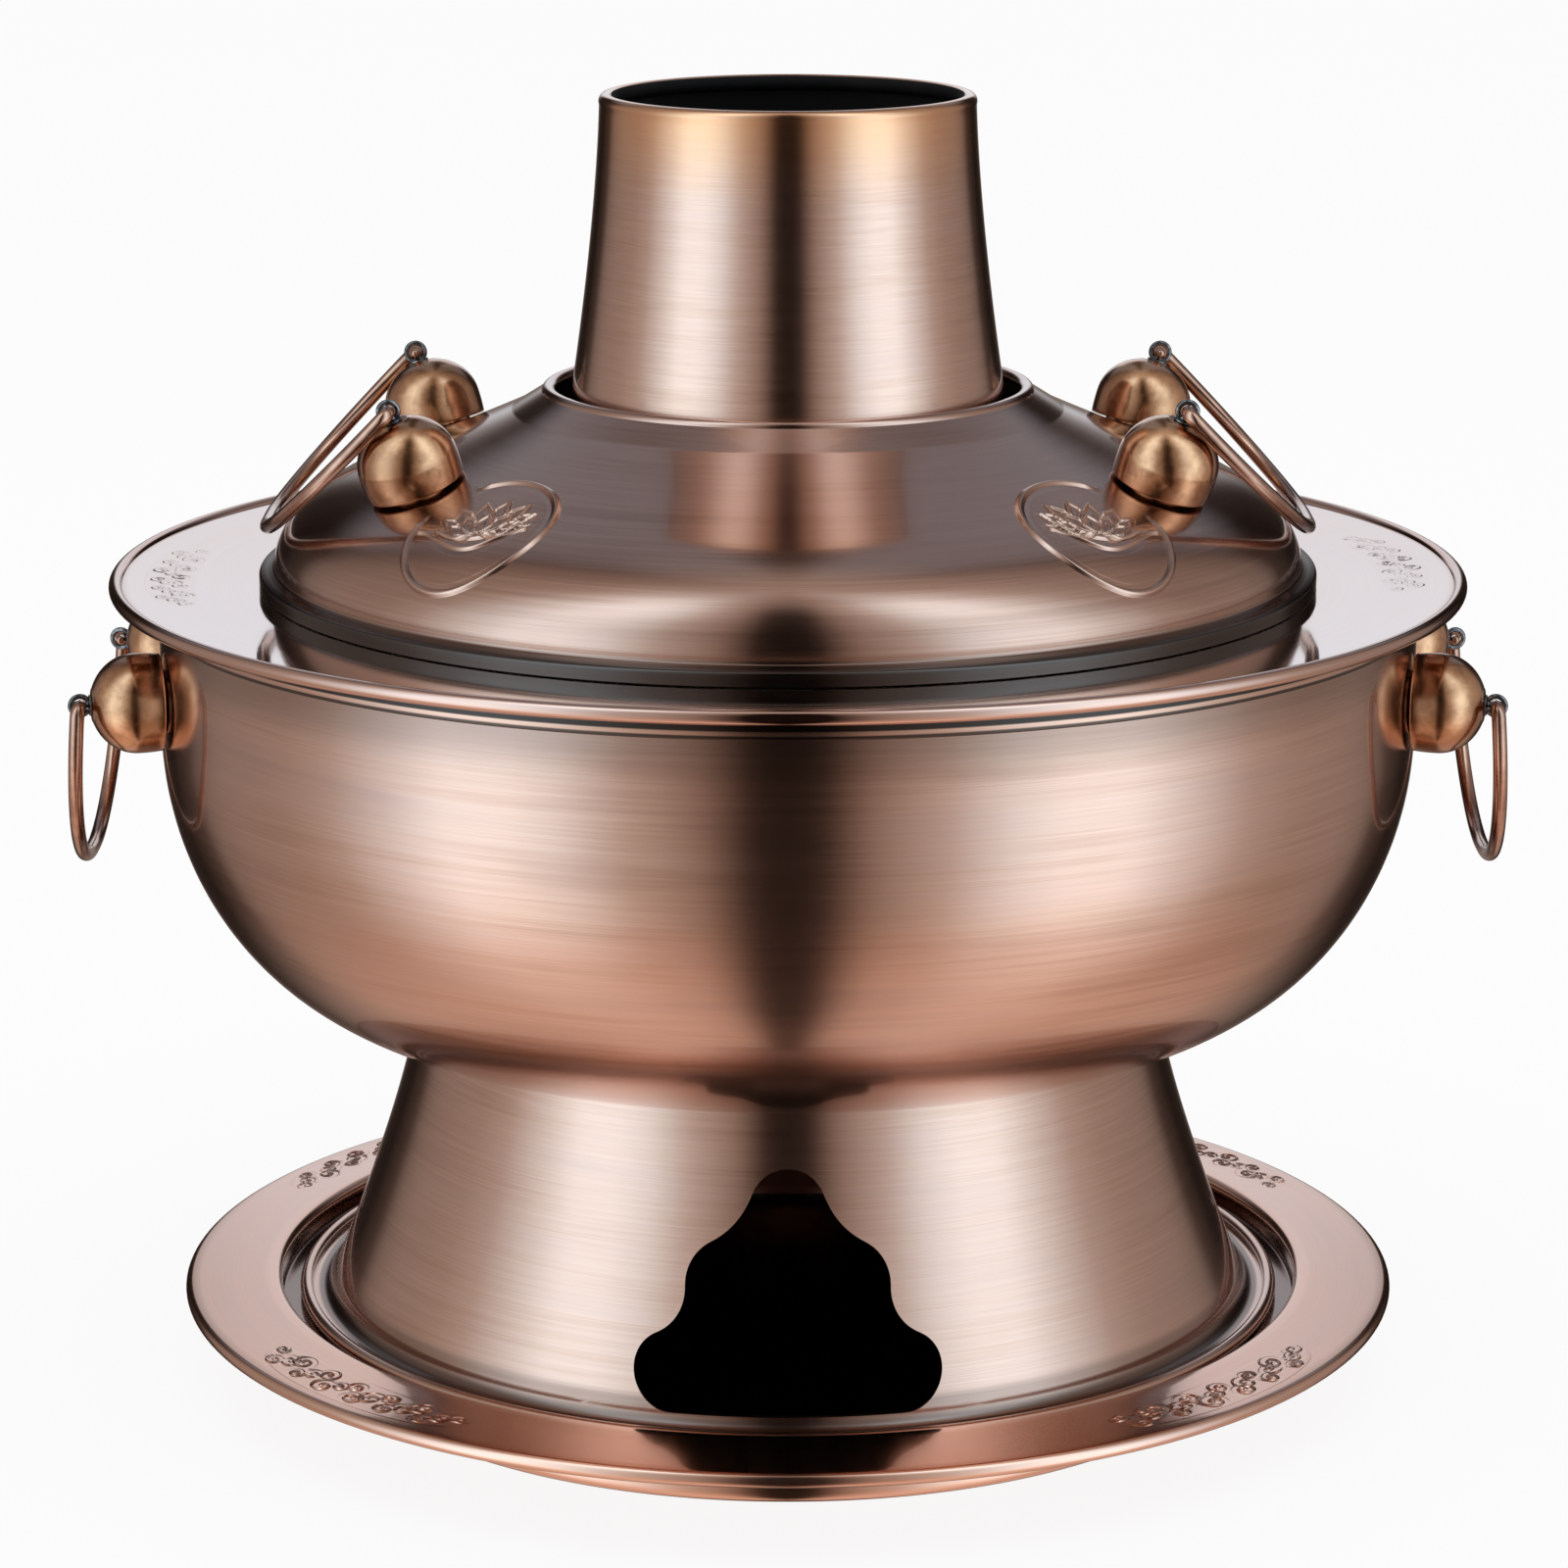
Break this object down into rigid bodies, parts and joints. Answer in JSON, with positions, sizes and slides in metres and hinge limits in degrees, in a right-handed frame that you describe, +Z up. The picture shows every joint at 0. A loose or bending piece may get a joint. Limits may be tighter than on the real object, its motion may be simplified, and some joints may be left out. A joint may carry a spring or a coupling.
{
  "type": "chimney hot pot",
  "caption": "Round copper hot pot with a central charcoal flue, a ring-shaped food trough, a flared foot with a stepped air opening, a tray, a ring lid and swinging bail handles.",
  "frame": {"origin": "on the table, under the middle of the tray's base", "axes": "+Z up along the flue; +X to the right with the air opening facing the viewer, towards the right-hand bails; the air opening faces -Y"},
  "size_m": [0.3588, 0.34, 0.3252],
  "materials": {
    "antique_copper": "brushed",
    "warm_copper": "polished",
    "bail_wire": "satin",
    "dark_nickel": "satin",
    "cast_iron": "rough"
  },
  "bodies": {
    "tray": {"tray": "antique_copper"},
    "pot": {"foot": "antique_copper", "grate": "cast_iron", "bowl": "antique_copper", "brim": "antique_copper", "flue": "antique_copper", "bowl_ball_front_left": "warm_copper", "bowl_ball_back_left": "warm_copper", "bowl_ball_front_right": "warm_copper", "bowl_ball_back_right": "warm_copper", "bowl_eye_front_left": "dark_nickel", "bowl_eye_back_left": "dark_nickel", "bowl_eye_front_right": "dark_nickel", "bowl_eye_back_right": "dark_nickel", "bowl_washers": "dark_nickel", "bowl_nuts": "dark_nickel"},
    "lid": {"lid": "antique_copper", "lid_guide_ring": "antique_copper", "lid_ball_front_left": "warm_copper", "lid_ball_back_left": "warm_copper", "lid_ball_front_right": "warm_copper", "lid_ball_back_right": "warm_copper", "lid_eye_front_left": "dark_nickel", "lid_eye_back_left": "dark_nickel", "lid_eye_front_right": "dark_nickel", "lid_eye_back_right": "dark_nickel", "lid_washers": "dark_nickel", "lid_nuts": "dark_nickel"},
    "bowl_bail_left": {"bowl_bail_left": "bail_wire"},
    "bowl_bail_right": {"bowl_bail_right": "bail_wire"},
    "lid_bail_left": {"lid_bail_left": "bail_wire"},
    "lid_bail_right": {"lid_bail_right": "bail_wire"}
  },
  "joints": [
    {"name": "pot_lift", "type": "slide", "parent": "tray", "child": "pot", "axis": [0, 0, 1], "range_m": [0, 0.04]},
    {"name": "lid_lift", "type": "slide", "parent": "pot", "child": "lid", "axis": [0, 0, 1], "range_m": [0, 0.13]},
    {"name": "bowl_bail_left_swing", "type": "hinge", "parent": "pot", "child": "bowl_bail_left", "pos_m": [-0.17402, 0, 0.179], "axis": [0, 1, 0], "range_deg": [-25, 180]},
    {"name": "lid_bail_left_swing", "type": "hinge", "parent": "lid", "child": "lid_bail_left", "pos_m": [-0.09639, 0, 0.25327], "axis": [0, 1, 0], "range_deg": [0, 190]},
    {"name": "bowl_bail_right_swing", "type": "hinge", "parent": "pot", "child": "bowl_bail_right", "pos_m": [0.17402, 0, 0.179], "axis": [0, -1, 0], "range_deg": [-25, 180]},
    {"name": "lid_bail_right_swing", "type": "hinge", "parent": "lid", "child": "lid_bail_right", "pos_m": [0.09639, 0, 0.25327], "axis": [0, -1, 0], "range_deg": [0, 190]}
  ]
}
